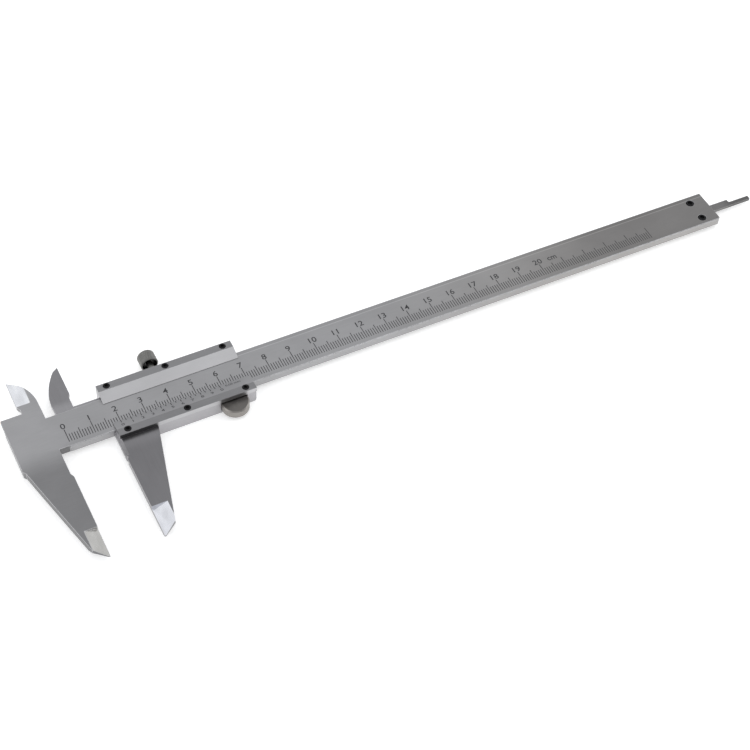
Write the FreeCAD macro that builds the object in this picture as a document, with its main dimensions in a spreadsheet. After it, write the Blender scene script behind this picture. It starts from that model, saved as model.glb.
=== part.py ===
import FreeCAD, Part
import Sketcher
import math
import os

# Vernier caliper, 200 mm, lying on its back with the jaws 20 mm open.
# Pieces are drawn in bench coordinates: X from the fixed outside measuring face along the beam,
# Y from the beam's lower guide edge, Z from the surface that the slide's back rests on.
# One shared placement then puts the origin at the middle of the fixed outside measuring face.

SIZES = {
    # beam: a ground flat bar with the fixed jaws at its left end
    "beam_end": 286.0,              # right end of the beam
    "beam_height": 16.0,
    "beam_thick": 3.5,
    "beam_back": 1.8,               # the beam hangs this far above the bench
    "end_corner": 0.5,              # chamfer on the lower right corner
    "edge_break": 0.2,              # chamfer along the long edges
    "head_left": 15.95,             # left edge of the head, left of the measuring face
    "head_top": 21.3,
    "head_side_drop": 4.0,          # the head's left edge is square down to here
    "shoulder_left": 15.0,          # the outer edge of the fixed jaw, three points down to the tip
    "shoulder_drop": 5.3,
    "middle_left": 11.7,
    "middle_drop": 19.0,
    "heel_left": 5.2,
    "heel_drop": 45.5,
    "jaw_drop": 49.6,               # depth of the outside jaws below the guide edge
    "tip_round": 0.4,
    "tip_bevel": 1.6,               # bevel on the back of both jaw ends
    "relief": 0.75,                 # the upper part of the fixed face stands back by this much
    "relief_start": 11.7,
    "face_start": 13.3,             # the measuring face starts here
    "notch_right": 3.6,             # undercut in the guide edge beside the jaw
    "notch_rise": 0.3,
    "face_middle_drop": 31.4,       # the origin's depth below the guide edge
    # moving outside jaw: distances right of its measuring face and below the guide edge
    "jaw_groove": 0.5,              # shallow groove across the measuring face
    "groove_drop": 12.4,
    "groove_floor_drop": 12.9,
    "groove_floor_end": 13.6,
    "groove_end": 14.1,
    "jaw_heel_right": 5.4,
    "jaw_heel_drop": 45.8,
    "jaw_low_right": 7.45,
    "jaw_low_drop": 37.6,
    "jaw_high_right": 14.0,
    "jaw_high_drop": 11.1,
    "jaw_root_right": 15.6,
    "jaw_root_drop": 4.3,
    # ground facets that thin the jaws to knife edges
    "facet_start": 37.0,
    "facet_width": 5.0,
    "facet_wide": 6.0,              # the same on the moving jaw
    "facet_deep": 1.5,
    "root_bevel": 1.2,              # bevel on the upper part of the moving jaw
    "root_bevel_deep": 1.6,
    "root_bevel_past": 0.02,        # its cut stays just below the slide's front
    # inside jaws (nibs)
    "nib_thick": 1.75,
    "nib_gap": 0.05,                # between the two nibs where they pass
    "nib_edge": 8.4,                # measuring edge, left of the outside face when closed
    "nib_top": 38.4,
    "nib_face_start": 24.8,
    "nib_notch": 0.8,
    "nib_notch_top": 23.2,
    "nib_root": 0.5,                # right side of the fixed nib, left of the measuring face
    "nib_root_low": 14.0,
    "nib_root_top": 19.6,
    "nib_waist": 0.6,
    "nib_waist_top": 23.8,
    "nib_shoulder": 7.1,
    "nib_shoulder_top": 37.2,
    "arm_root": 3.8,                # left side of the moving nib, right of the measuring face
    "arm_waist": 3.65,
    "arm_waist_top": 22.0,
    "arm_bend": 3.9,
    "arm_bend_top": 25.0,
    "arm_shoulder": 9.4,
    "arm_shoulder_top": 37.0,
    "arm_radius": 30.0,
    "nib_facet_width": 5.3,
    "nib_facet_deep": 1.2,
    "nib_facet_start": 25.2,
    "nib_back_radius": 16.0,
    # slide
    "opening": 20.0,                # distance between the outside faces as modelled
    "slide_left": 20.75,
    "slide_length": 54.0,
    "rail_low": 4.6,                # lower rail reaches this far below the guide edge
    "rail_top": 20.9,
    "running": 0.03,                # clearance of the sliding fit
    "gib_room": 1.0,                # space for the gib above the beam
    "ledge_top": 18.2,              # arm that carries the moving nib
    "slide_corner": 0.8,
    "arm_overlap": 1.0,             # the arm runs this far into the slide's left end
    "plate_thick": 2.0,
    "vernier_top": 3.5,             # upper edge of the vernier plate on the beam's face
    "vernier_flat": -1.5,           # the plate is flat below this line and bevelled above it
    "cover_low": 13.1,
    "cover_flat": 17.6,
    "plate_lip": 0.15,              # thickness of the bevelled edges
    # plate screws
    "screw_first": 24.5,
    "screw_pitch": 23.25,
    "vernier_screw_low": 2.65,
    "cover_screw_rise": 19.45,
    "screw_head": 2.7,
    "screw_head_high": 1.2,
    "screw_proud": 0.12,
    "screw_shank": 1.0,
    "screw_length": 4.4,
    "screw_hex": 1.3,
    "screw_hex_deep": 0.7,
    "screw_slack": 0.06,            # on diameters of holes around screws
    # lock screw
    "lock_along": 43.7,
    "knob_width": 6.9,
    "knob_low": 25.1,
    "knob_high": 5.3,
    "knob_dome": 0.8,
    "knob_chamfer": 0.3,
    "recess_width": 5.9,            # round recess under the knob
    "recess_deep": 1.3,
    "stem_width": 2.6,
    "stem_point": 0.5,              # chamfer on the end that presses on the gib
    # gib and its adjusting screws
    "gib_inset": 1.0,
    "gib_dimple": 0.2,
    "gib_narrower": 0.1,            # on each side, than the beam is thick
    "seat_slack": 0.2,              # on diameters of the dimples around the screw ends
    "seat_deeper": 0.02,
    "grub_first": 31.0,
    "grub_second": 61.0,
    "grub_width": 2.0,
    "grub_length": 3.6,
    "grub_point": 0.3,
    "grub_hex": 0.9,
    "grub_hex_deep": 1.4,
    # thumb wheel
    "wheel_along": 65.6,
    "wheel_radius": 5.3,
    "wheel_back": 1.2,
    "wheel_thick": 3.7,
    "wheel_chamfer": 0.45,
    "wheel_room": 0.1,
    "ear_radius": 3.2,
    "ear_thick": 1.1,
    "axle_radius": 1.0,
    "axle_slack": 0.05,
    "axle_reach": 2.7,              # length of the axle inside the wheel
    "axle_chamfer": 0.2,
    "pin_sunk": 0.05,               # axle and rivets end this far inside the slide's back
    # depth rod
    "rod_left": 38.0,
    "rod_end": 305.7,
    "rod_low": 6.35,
    "rod_wide": 3.4,
    "rod_thick": 1.2,
    "rod_side_gap": 0.05,
    "rod_face_gap": 0.1,
    "rod_tip_length": 9.5,
    "rod_tip_wide": 1.8,
    "rod_tip_fillet": 0.8,
    "groove_left": 15.0,
    "rivet_first": 42.0,
    "rivet_pitch": 9.0,
    "rivet_width": 1.6,
    # end stop
    "stop_length": 16.1,
    "stop_low": 1.7,
    "stop_margin": 0.3,             # from the beam's end and upper edge
    "stop_screw_in": 6.8,           # from the beam's end
    "stop_screw_low": 3.4,
    "stop_screw_high": 12.5,
    "stop_head": 3.5,
    "stop_head_high": 1.2,
    "stop_shank": 2.0,
    "stop_hex": 1.8,
    "stop_screw_sunk": 0.3,         # its end inside the stop plate's back
    # cuts
    "cut_past": 1.0,                # cutting outlines reach this far outside the metal
}

# shares of a screw head's diameter: the rim's depth below the crown, and the flat crown's radius
RIM_SHARE = 0.06
CROWN_SHARE = 0.38

# an edge at least this long, in mm, runs the length of the beam
LONG_EDGE = 200.0


class Size:
    """A length together with the sheet formula that it comes from."""

    def __init__(self, number, formula):
        self.number = float(number)
        self.formula = formula

    def __add__(self, other):
        other = as_size(other)
        return Size(self.number + other.number, f"({self.formula} + {other.formula})")

    def __sub__(self, other):
        other = as_size(other)
        return Size(self.number - other.number, f"({self.formula} - {other.formula})")

    def __mul__(self, factor):
        return Size(self.number * factor, f"({self.formula} * {factor})")

    def __truediv__(self, divisor):
        return Size(self.number / divisor, f"({self.formula} / {divisor})")

    def __neg__(self):
        return Size(-self.number, f"(-{self.formula})")


def as_size(value):
    return value if isinstance(value, Size) else Size(value, f"({float(value)})")


def make_sheet(document):
    """The driving dimensions, one named cell each; returns them as sizes."""
    sheet = document.addObject("Spreadsheet::Sheet", "sizes")
    for row, (alias, number) in enumerate(SIZES.items(), start=1):
        sheet.set(f"A{row}", alias.replace("_", " "))
        sheet.set(f"B{row}", str(number))
        sheet.setAlias(f"B{row}", alias)
    document.recompute()
    return {alias: Size(sheet.get(alias), f"sizes.{alias}") for alias in SIZES}


document = FreeCAD.newDocument("vernier_caliper")
cell = make_sheet(document)
subparts = []

# heights and places that several pieces share
beam_front = cell["beam_back"] + cell["beam_thick"]
mid_height = cell["beam_back"] + cell["beam_thick"] / 2
rail_front = beam_front + cell["running"]
slide_right = cell["slide_left"] + cell["slide_length"]
plate_front = rail_front + cell["plate_thick"]
gib_space_top = cell["beam_height"] + cell["gib_room"]
fixed_nib_back = beam_front - cell["nib_thick"]
moving_nib_front = fixed_nib_back - cell["nib_gap"]
wheel_low = -(cell["wheel_radius"] + cell["running"])
screw_places = [cell["screw_first"] + cell["screw_pitch"] * count for count in range(3)]
grub_places = [cell["grub_first"], cell["grub_second"]]
rivet_places = [cell["rivet_first"], cell["rivet_first"] + cell["rivet_pitch"]]
rod_middle = cell["rod_low"] + cell["rod_wide"] / 2
stop_along = cell["beam_end"] - cell["stop_screw_in"]
stop_heights = [cell["stop_screw_low"], cell["stop_screw_high"]]


# ---------------------------------------------------------------- sketching helpers

def new_body(label, shift=(0.0, 0.0, 0.0)):
    """A sub-part's body; shift moves it in bench coordinates before the shared placement."""
    body = document.addObject("PartDesign::Body", label)
    body.Label = label
    datum = (as_size(0.0), cell["face_middle_drop"], -mid_height)
    for axis, own, shared in zip("xyz", shift, datum):
        body.setExpression(f"Placement.Base.{axis}", (as_size(own) + shared).formula)
    subparts.append(body)
    return body


def new_sketch(body, name, role, offset=0.0):
    """A sketch on one of the body's own origin planes, moved along the plane's normal."""
    sketch = body.newObject("Sketcher::SketchObject", name)
    plane = [item for item in body.Origin.OriginFeatures if item.Role == role][0]
    sketch.AttachmentSupport = [(plane, "")]
    sketch.MapMode = "FlatFace"
    sketch.setExpression("AttachmentOffset.Base.z", as_size(offset).formula)
    return sketch


def bind(sketch, kind, places, size):
    """A dimension held by a sheet formula; a length is always kept positive."""
    index = sketch.addConstraint(Sketcher.Constraint(kind, *places, abs(size.number)))
    positive = size if size.number >= 0 else -size
    sketch.setExpression(f"Constraints[{index}]", positive.formula)


def pin_point(sketch, geometry, vertex, x, y):
    """Dimensions from the sketch origin to one point."""
    for kind, size, axis in (("DistanceX", as_size(x), -2), ("DistanceY", as_size(y), -1)):
        if abs(size.number) < 1e-9:
            sketch.addConstraint(Sketcher.Constraint("PointOnObject", geometry, vertex, axis))
        elif size.number > 0:
            bind(sketch, kind, (-1, 1, geometry, vertex), size)
        else:
            bind(sketch, kind, (geometry, vertex, -1, 1), size)


def arc_between(start, end, radius):
    """Arc from start to end; a positive radius turns left, a negative one turns right."""
    chord = end - start
    across = FreeCAD.Vector(-chord.y, chord.x, 0).normalize()
    height = math.sqrt(radius ** 2 - (chord.Length / 2) ** 2)
    centre = (start + end) * 0.5 + across * math.copysign(height, radius)
    first, last = (start, end) if radius > 0 else (end, start)
    from_angle = math.atan2(first.y - centre.y, first.x - centre.x)
    to_angle = math.atan2(last.y - centre.y, last.x - centre.x)
    circle = Part.Circle(centre, FreeCAD.Vector(0, 0, 1), abs(radius))
    return Part.ArcOfCircle(circle, from_angle, to_angle)


def draw_outline(sketch, corners):
    """Closed outline of (x, y) corners; (x, y, radius) arrives there along an arc."""
    points = [FreeCAD.Vector(as_size(c[0]).number, as_size(c[1]).number, 0) for c in corners]
    edges = []
    for count, corner in enumerate(corners):
        if len(corner) == 3:
            radius = as_size(corner[2])
            edge = sketch.addGeometry(arc_between(points[count - 1], points[count], radius.number))
            edges.append((edge, (1, 2) if radius.number > 0 else (2, 1)))
            bind(sketch, "Radius", (edge,), radius)
        else:
            edge = sketch.addGeometry(Part.LineSegment(points[count - 1], points[count]))
            edges.append((edge, (1, 2)))
    for count, (edge, ends) in enumerate(edges):
        follower, follower_ends = edges[(count + 1) % len(edges)]
        joint = (edge, ends[1], follower, follower_ends[0])
        sketch.addConstraint(Sketcher.Constraint("Coincident", *joint))
        pin_point(sketch, edge, ends[1], corners[count][0], corners[count][1])


def draw_rectangle(sketch, left, low, right, top):
    draw_outline(sketch, [(left, low), (right, low), (right, top), (left, top)])


def draw_circle(sketch, x, y, diameter):
    centre = FreeCAD.Vector(as_size(x).number, as_size(y).number, 0)
    normal = FreeCAD.Vector(0, 0, 1)
    circle = sketch.addGeometry(Part.Circle(centre, normal, as_size(diameter).number / 2))
    bind(sketch, "Diameter", (circle,), as_size(diameter))
    pin_point(sketch, circle, 3, x, y)


def draw_hexagon(sketch, x, y, across_flats):
    """Regular hexagon with two flats parallel to the sketch's X axis."""
    x, y, half = as_size(x), as_size(y), as_size(across_flats) / 2
    wide = half * (2 / math.sqrt(3))
    narrow = half * (1 / math.sqrt(3))
    draw_outline(sketch, [
        (x + wide, y), (x + narrow, y + half), (x - narrow, y + half),
        (x - wide, y), (x - narrow, y - half), (x + narrow, y - half)])


def pad(body, sketch, length, back=False):
    feature = body.newObject("PartDesign::Pad", sketch.Name + "_pad")
    feature.Profile = sketch
    feature.Reversed = back
    feature.setExpression("Length", as_size(length).formula)
    document.recompute()
    return feature


def pocket(body, sketch, length, along_normal=False):
    """Cut the sketch away, against its normal unless along_normal is set."""
    before = body.Shape.Volume
    feature = body.newObject("PartDesign::Pocket", sketch.Name + "_pocket")
    feature.Profile = sketch
    feature.Reversed = along_normal
    feature.setExpression("Length", as_size(length).formula)
    document.recompute()
    if not body.Shape.Volume < before - 1e-4:
        raise RuntimeError(f"{body.Label}: {sketch.Name} removes nothing")
    return feature


def turn(body, sketch, axis="V_Axis"):
    """Revolve the sketch a full turn about one of its own axes."""
    feature = body.newObject("PartDesign::Revolution", sketch.Name + "_turned")
    feature.Profile = sketch
    feature.ReferenceAxis = (sketch, [axis])
    feature.Angle = 360.0
    document.recompute()
    return feature


def chamfer(body, name, size, chosen):
    """Chamfer the edges of the body that the function chosen accepts."""
    base = body.Tip
    names = [f"Edge{count}" for count, edge in enumerate(base.Shape.Edges, 1) if chosen(edge)]
    if not names:
        raise RuntimeError(f"{body.Label}: no edge for {name}")
    feature = body.newObject("PartDesign::Chamfer", name)
    feature.Base = (base, names)
    feature.setExpression("Size", as_size(size).formula)
    document.recompute()
    return feature


def long_guide_edge(edge):
    """True for the long straight edges of the beam's two guide faces."""
    box = edge.BoundBox
    straight = box.YLength < 1e-6 and box.ZLength < 1e-6
    heights = (0.0, cell["beam_height"].number)
    return straight and box.XLength > LONG_EDGE and min(abs(box.YMin - high) for high in heights) < 1e-4


def joins(edge, level, corners):
    """True where a straight edge at this level ends at the two (x, y) corners."""
    wanted = [FreeCAD.Vector(as_size(x).number, as_size(y).number, level.number) for x, y in corners]
    return all(any(point.Point.distanceToPoint(corner) < 1e-3 for point in edge.Vertexes)
               for corner in wanted)


# ---------------------------------------------------------------- beam with the fixed jaws

def make_beam():
    body = new_body("beam")
    jaw = new_sketch(body, "beam_outline", "XY_Plane", cell["beam_back"])
    draw_outline(jaw, [
        (-cell["head_left"], cell["beam_height"]),
        (-cell["head_left"], -cell["head_side_drop"]),
        (-cell["shoulder_left"], -cell["shoulder_drop"]),
        (-cell["middle_left"], -cell["middle_drop"]),
        (-cell["heel_left"], -cell["heel_drop"]),
        (-cell["tip_round"], -cell["jaw_drop"]),
        (0.0, -(cell["jaw_drop"] - cell["tip_round"])),
        (0.0, -cell["face_start"]),
        (-cell["relief"], -cell["relief_start"]),
        (-cell["relief"], cell["notch_rise"]),
        (cell["notch_right"] - cell["notch_rise"], cell["notch_rise"]),
        (cell["notch_right"], 0.0),
        (cell["beam_end"] - cell["end_corner"], 0.0),
        (cell["beam_end"], cell["end_corner"]),
        (cell["beam_end"], cell["beam_height"]),
    ])
    pad(body, jaw, cell["beam_thick"])

    # front half only: the head above the guide edge and the fixed nib
    edge = -cell["nib_edge"]
    head = new_sketch(body, "fixed_nib", "XY_Plane", fixed_nib_back)
    draw_outline(head, [
        (-cell["head_left"], cell["head_top"]),
        (-cell["head_left"], cell["nib_root_low"]),
        (-cell["nib_root"], cell["nib_root_low"]),
        (-cell["nib_root"], cell["nib_root_top"]),
        (-cell["nib_waist"], cell["nib_waist_top"]),
        (-cell["nib_shoulder"], cell["nib_shoulder_top"], cell["nib_back_radius"]),
        (edge, cell["nib_top"]),
        (edge, cell["nib_face_start"]),
        (edge + cell["nib_notch"], cell["nib_notch_top"]),
        (edge + cell["nib_notch"], cell["head_top"]),
    ])
    pad(body, head, cell["nib_thick"])

    # knife-edge facets on the front
    facet = new_sketch(body, "jaw_facet", "XZ_Plane", cell["facet_start"])
    draw_outline(facet, [
        (-cell["facet_width"], beam_front),
        (cell["facet_width"], beam_front - cell["facet_deep"] * 2),
        (cell["facet_width"], beam_front + cell["cut_past"]),
        (-cell["facet_width"], beam_front + cell["cut_past"]),
    ])
    pocket(body, facet, cell["jaw_drop"], along_normal=True)
    facet_right = edge + cell["nib_facet_width"]
    nib_facet = new_sketch(body, "nib_facet", "XZ_Plane", -cell["nib_facet_start"])
    draw_outline(nib_facet, [
        (facet_right, beam_front),
        (facet_right, beam_front + cell["cut_past"]),
        (edge - cell["nib_facet_width"], beam_front + cell["cut_past"]),
        (edge - cell["nib_facet_width"], beam_front - cell["nib_facet_deep"] * 2),
    ])
    pocket(body, nib_facet, cell["nib_top"])

    # groove for the depth rod in the back, open at the right end
    groove = new_sketch(body, "rod_groove", "XY_Plane", cell["beam_back"])
    draw_rectangle(groove, cell["groove_left"], cell["rod_low"] - cell["rod_side_gap"],
                   cell["beam_end"] + cell["cut_past"],
                   cell["rod_low"] + cell["rod_wide"] + cell["rod_side_gap"])
    pocket(body, groove, cell["rod_thick"] + cell["running"] + cell["rod_face_gap"], along_normal=True)

    # holes and counterbores for the end stop's screws
    holes = new_sketch(body, "stop_holes", "XY_Plane", beam_front)
    heads = new_sketch(body, "stop_counterbores", "XY_Plane", beam_front)
    for height in stop_heights:
        draw_circle(holes, stop_along, height, cell["stop_shank"] + cell["screw_slack"])
        draw_circle(heads, stop_along, height, cell["stop_head"] + cell["screw_slack"])
    pocket(body, holes, cell["beam_thick"])
    pocket(body, heads, cell["stop_head_high"] - cell["screw_proud"])

    chamfer(body, "beam_edges", cell["edge_break"], long_guide_edge)
    heel = (-cell["heel_left"], -cell["heel_drop"])
    tip = (-cell["tip_round"], -cell["jaw_drop"])
    chamfer(body, "tip_bevel", cell["tip_bevel"],
            lambda edge: joins(edge, cell["beam_back"], (heel, tip)))


# ---------------------------------------------------------------- slide with the moving jaws

def make_slide():
    body = new_body("slide_body")
    left, low, top = cell["slide_left"], -cell["rail_low"], cell["rail_top"]
    block = new_sketch(body, "slide_block", "XY_Plane")
    draw_outline(block, [
        (left, low), (slide_right - cell["slide_corner"], low),
        (slide_right, low + cell["slide_corner"]), (slide_right, top), (left, top)])
    pad(body, block, rail_front)

    # channel for the beam and the gib, open at the front until the plates close it
    channel = new_sketch(body, "beam_channel", "YZ_Plane", left - cell["cut_past"])
    draw_rectangle(channel, -cell["running"], cell["beam_back"] - cell["running"],
                   gib_space_top, rail_front + cell["cut_past"])
    pocket(body, channel, cell["slide_length"] + cell["cut_past"] * 2, along_normal=True)

    # moving outside jaw
    face = cell["opening"]
    jaw = new_sketch(body, "moving_jaw", "XY_Plane", cell["beam_back"])
    draw_outline(jaw, [
        (face, -cell["running"]),
        (face, -cell["groove_drop"]),
        (face + cell["jaw_groove"], -cell["groove_floor_drop"]),
        (face + cell["jaw_groove"], -cell["groove_floor_end"]),
        (face, -cell["groove_end"]),
        (face, -(cell["jaw_drop"] - cell["tip_round"])),
        (face + cell["tip_round"], -cell["jaw_drop"]),
        (face + cell["jaw_heel_right"], -cell["jaw_heel_drop"]),
        (face + cell["jaw_low_right"], -cell["jaw_low_drop"]),
        (face + cell["jaw_high_right"], -cell["jaw_high_drop"]),
        (face + cell["jaw_root_right"], -cell["jaw_root_drop"]),
        (face + cell["jaw_root_right"], -cell["running"]),
    ])
    pad(body, jaw, cell["beam_thick"])

    # moving inside nib on its arm, behind the fixed nib
    edge = face - cell["nib_edge"]
    nib = new_sketch(body, "moving_nib", "XY_Plane", cell["beam_back"])
    arm_low = cell["beam_height"] + cell["running"]
    draw_outline(nib, [
        (cell["arm_root"], arm_low),
        (left, arm_low),
        (left, gib_space_top),
        (left + cell["arm_overlap"], gib_space_top),
        (left + cell["arm_overlap"], cell["ledge_top"]),
        (edge - cell["nib_notch"], cell["ledge_top"]),
        (edge - cell["nib_notch"], cell["nib_notch_top"]),
        (edge, cell["nib_face_start"]),
        (edge, cell["nib_top"]),
        (cell["arm_shoulder"], cell["arm_shoulder_top"]),
        (cell["arm_bend"], cell["arm_bend_top"], cell["arm_radius"]),
        (cell["arm_waist"], cell["arm_waist_top"]),
    ])
    pad(body, nib, moving_nib_front - cell["beam_back"])

    # knife-edge facets: front of the outside jaw, back of the nib
    facet = new_sketch(body, "jaw_facet", "XZ_Plane", cell["facet_start"])
    draw_outline(facet, [
        (face + cell["facet_wide"], beam_front),
        (face + cell["facet_wide"], beam_front + cell["cut_past"]),
        (face - cell["facet_wide"], beam_front + cell["cut_past"]),
        (face - cell["facet_wide"], beam_front - cell["facet_deep"] * 2),
    ])
    pocket(body, facet, cell["jaw_drop"], along_normal=True)
    bevel = new_sketch(body, "root_bevel", "XZ_Plane", cell["running"])
    draw_outline(bevel, [
        (face + cell["root_bevel"], beam_front),
        (face + cell["root_bevel"], beam_front + cell["root_bevel_past"]),
        (face - cell["root_bevel"], beam_front + cell["root_bevel_past"]),
        (face - cell["root_bevel"], beam_front - cell["root_bevel_deep"] * 2),
    ])
    pocket(body, bevel, cell["groove_drop"], along_normal=True)
    nib_facet = new_sketch(body, "nib_facet", "XZ_Plane", -cell["nib_facet_start"])
    draw_outline(nib_facet, [
        (edge - cell["nib_facet_width"], cell["beam_back"]),
        (edge - cell["nib_facet_width"], cell["beam_back"] - cell["cut_past"]),
        (edge + cell["nib_facet_width"], cell["beam_back"] - cell["cut_past"]),
        (edge + cell["nib_facet_width"], cell["beam_back"] + cell["nib_facet_deep"] * 2),
    ])
    pocket(body, nib_facet, cell["nib_top"])

    # ear behind the thumb wheel, and the round pocket that the wheel turns in
    ear = new_sketch(body, "wheel_ear", "XY_Plane")
    draw_circle(ear, cell["wheel_along"], wheel_low, cell["ear_radius"] * 2)
    pad(body, ear, cell["ear_thick"])
    well = new_sketch(body, "wheel_pocket", "XY_Plane", cell["ear_thick"])
    well_width = (cell["wheel_radius"] + cell["wheel_room"]) * 2
    draw_circle(well, cell["wheel_along"], wheel_low, well_width)
    pocket(body, well, rail_front, along_normal=True)
    pin_hole = new_sketch(body, "axle_hole", "XY_Plane")
    draw_circle(pin_hole, cell["wheel_along"], wheel_low, cell["axle_radius"] * 2)
    pocket(body, pin_hole, cell["ear_thick"], along_normal=True)

    # tapped holes for the plate screws
    tapped = new_sketch(body, "plate_screw_holes", "XY_Plane", rail_front)
    for place in screw_places:
        for height in (-cell["vernier_screw_low"], cell["cover_screw_rise"]):
            draw_circle(tapped, place, height, cell["screw_shank"] + cell["screw_slack"])
    pocket(body, tapped, cell["screw_length"] - cell["plate_thick"])

    # holes through the upper rail for the lock screw and the gib screws
    across = new_sketch(body, "rail_holes", "XZ_Plane", -gib_space_top)
    draw_circle(across, cell["lock_along"], mid_height, cell["stem_width"] + cell["screw_slack"])
    for place in grub_places:
        draw_circle(across, place, mid_height, cell["grub_width"] + cell["screw_slack"])
    pocket(body, across, cell["rail_top"])

    # rivet holes for the depth rod through the back wall
    rivets = new_sketch(body, "rivet_holes", "XY_Plane")
    for place in rivet_places:
        draw_circle(rivets, place, rod_middle, cell["rivet_width"])
    pocket(body, rivets, cell["beam_back"], along_normal=True)

    heel = (face + cell["jaw_heel_right"], -cell["jaw_heel_drop"])
    tip = (face + cell["tip_round"], -cell["jaw_drop"])
    chamfer(body, "tip_bevel", cell["tip_bevel"],
            lambda edge: joins(edge, cell["beam_back"], (heel, tip)))


# ---------------------------------------------------------------- plates on the slide's front

def make_plate(label, profile, screw_height):
    """A plate of constant section along the slide, with three counterbored screw holes."""
    body = new_body(label)
    section = new_sketch(body, label + "_section", "YZ_Plane", cell["slide_left"])
    draw_outline(section, profile)
    pad(body, section, cell["slide_length"])
    holes = new_sketch(body, label + "_holes", "XY_Plane", plate_front)
    heads = new_sketch(body, label + "_counterbores", "XY_Plane", plate_front)
    for place in screw_places:
        draw_circle(holes, place, screw_height, cell["screw_shank"] + cell["screw_slack"])
        draw_circle(heads, place, screw_height, cell["screw_head"] + cell["screw_slack"])
    pocket(body, holes, cell["plate_thick"])
    pocket(body, heads, cell["screw_head_high"] - cell["screw_proud"])


def make_plates():
    make_plate("vernier_plate", [
        (-cell["rail_low"], rail_front),
        (cell["vernier_top"], rail_front),
        (cell["vernier_top"], rail_front + cell["plate_lip"]),
        (cell["vernier_flat"], plate_front),
        (-cell["rail_low"], plate_front),
    ], -cell["vernier_screw_low"])
    make_plate("top_cover_plate", [
        (cell["cover_low"], rail_front),
        (cell["rail_top"], rail_front),
        (cell["rail_top"], plate_front),
        (cell["cover_flat"], plate_front),
        (cell["cover_low"], rail_front + cell["plate_lip"]),
    ], cell["cover_screw_rise"])


# ---------------------------------------------------------------- screws

def make_screw(label, place, head, head_high, shank, length, hexagon):
    """Cap screw with a hexagon socket, standing along Z with its head's top at place."""
    body = new_body(label, place)
    section = new_sketch(body, label + "_section", "XZ_Plane")
    rim = head * RIM_SHARE
    draw_outline(section, [
        (0.0, 0.0), (head * CROWN_SHARE, 0.0), (head / 2, -rim), (head / 2, -head_high),
        (shank / 2, -head_high), (shank / 2, -length), (0.0, -length)])
    turn(body, section)
    socket = new_sketch(body, label + "_socket", "XY_Plane")
    draw_hexagon(socket, 0.0, 0.0, hexagon)
    pocket(body, socket, cell["screw_hex_deep"])


def make_screws():
    head_top = plate_front + cell["screw_proud"]
    rows = (("vernier_plate_screw", -cell["vernier_screw_low"]),
            ("cover_plate_screw", cell["cover_screw_rise"]))
    for name, height in rows:
        for count, place in enumerate(screw_places, 1):
            make_screw(f"{name}_{count}", (place, height, head_top), cell["screw_head"],
                       cell["screw_head_high"], cell["screw_shank"], cell["screw_length"],
                       cell["screw_hex"])
    for count, height in enumerate(stop_heights, 1):
        stop_top = beam_front + cell["screw_proud"]
        make_screw(f"end_stop_screw_{count}", (stop_along, height, stop_top), cell["stop_head"],
                   cell["stop_head_high"], cell["stop_shank"],
                   cell["beam_thick"] + cell["beam_back"] - cell["stop_screw_sunk"],
                   cell["stop_hex"])


def make_lock_screw():
    """Knob with a recessed underside and its stem, along +Y through the upper rail."""
    body = new_body("lock_screw", (cell["lock_along"], 0.0, mid_height))
    section = new_sketch(body, "lock_section", "XY_Plane")
    tip = gib_space_top - cell["running"] - cell["gib_dimple"]
    knob, recess, stem = cell["knob_width"] / 2, cell["recess_width"] / 2, cell["stem_width"] / 2
    top = cell["knob_low"] + cell["knob_high"]
    floor = cell["knob_low"] + cell["recess_deep"]
    point, slant = cell["stem_point"], cell["knob_chamfer"]
    draw_outline(section, [
        (0.0, tip), (stem - point, tip), (stem, tip + point), (stem, floor), (recess, floor),
        (recess, cell["knob_low"]), (knob - slant, cell["knob_low"]),
        (knob, cell["knob_low"] + slant),
        (knob, top - cell["knob_dome"]), (knob - cell["knob_dome"], top, cell["knob_dome"]),
        (0.0, top)])
    turn(body, section)


def make_gib():
    """Flat strip between the beam's upper edge and the upper rail."""
    body = new_body("gib_strip")
    section = new_sketch(body, "gib_section", "XY_Plane", cell["beam_back"] + cell["gib_narrower"])
    top = gib_space_top - cell["running"]
    draw_rectangle(section, cell["slide_left"] + cell["gib_inset"],
                   cell["beam_height"] + cell["running"], slide_right - cell["gib_inset"], top)
    pad(body, section, cell["beam_thick"] - cell["gib_narrower"] * 2)
    seats = new_sketch(body, "gib_seats", "XZ_Plane", -top)
    seat_width = cell["stem_width"] + cell["seat_slack"]
    for place in (cell["lock_along"], *grub_places):
        draw_circle(seats, place, mid_height, seat_width)
    pocket(body, seats, cell["gib_dimple"] + cell["seat_deeper"], along_normal=True)


def make_gib_screws():
    """Grub screws that set the gib's pressure, flush in the top of the slide."""
    tip = gib_space_top - cell["running"] - cell["gib_dimple"]
    for count, place in enumerate(grub_places, 1):
        label = f"gib_screw_{count}"
        body = new_body(label, (place, tip, mid_height))
        section = new_sketch(body, label + "_section", "XY_Plane")
        radius, length, point = cell["grub_width"] / 2, cell["grub_length"], cell["grub_point"]
        draw_outline(section, [
            (0.0, 0.0), (radius - point, 0.0), (radius, point), (radius, length), (0.0, length)])
        turn(body, section)
        socket = new_sketch(body, label + "_socket", "XZ_Plane", -length)
        draw_hexagon(socket, 0.0, 0.0, cell["grub_hex"])
        pocket(body, socket, cell["grub_hex_deep"], along_normal=True)


# ---------------------------------------------------------------- thumb wheel, depth rod, end stop

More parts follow.
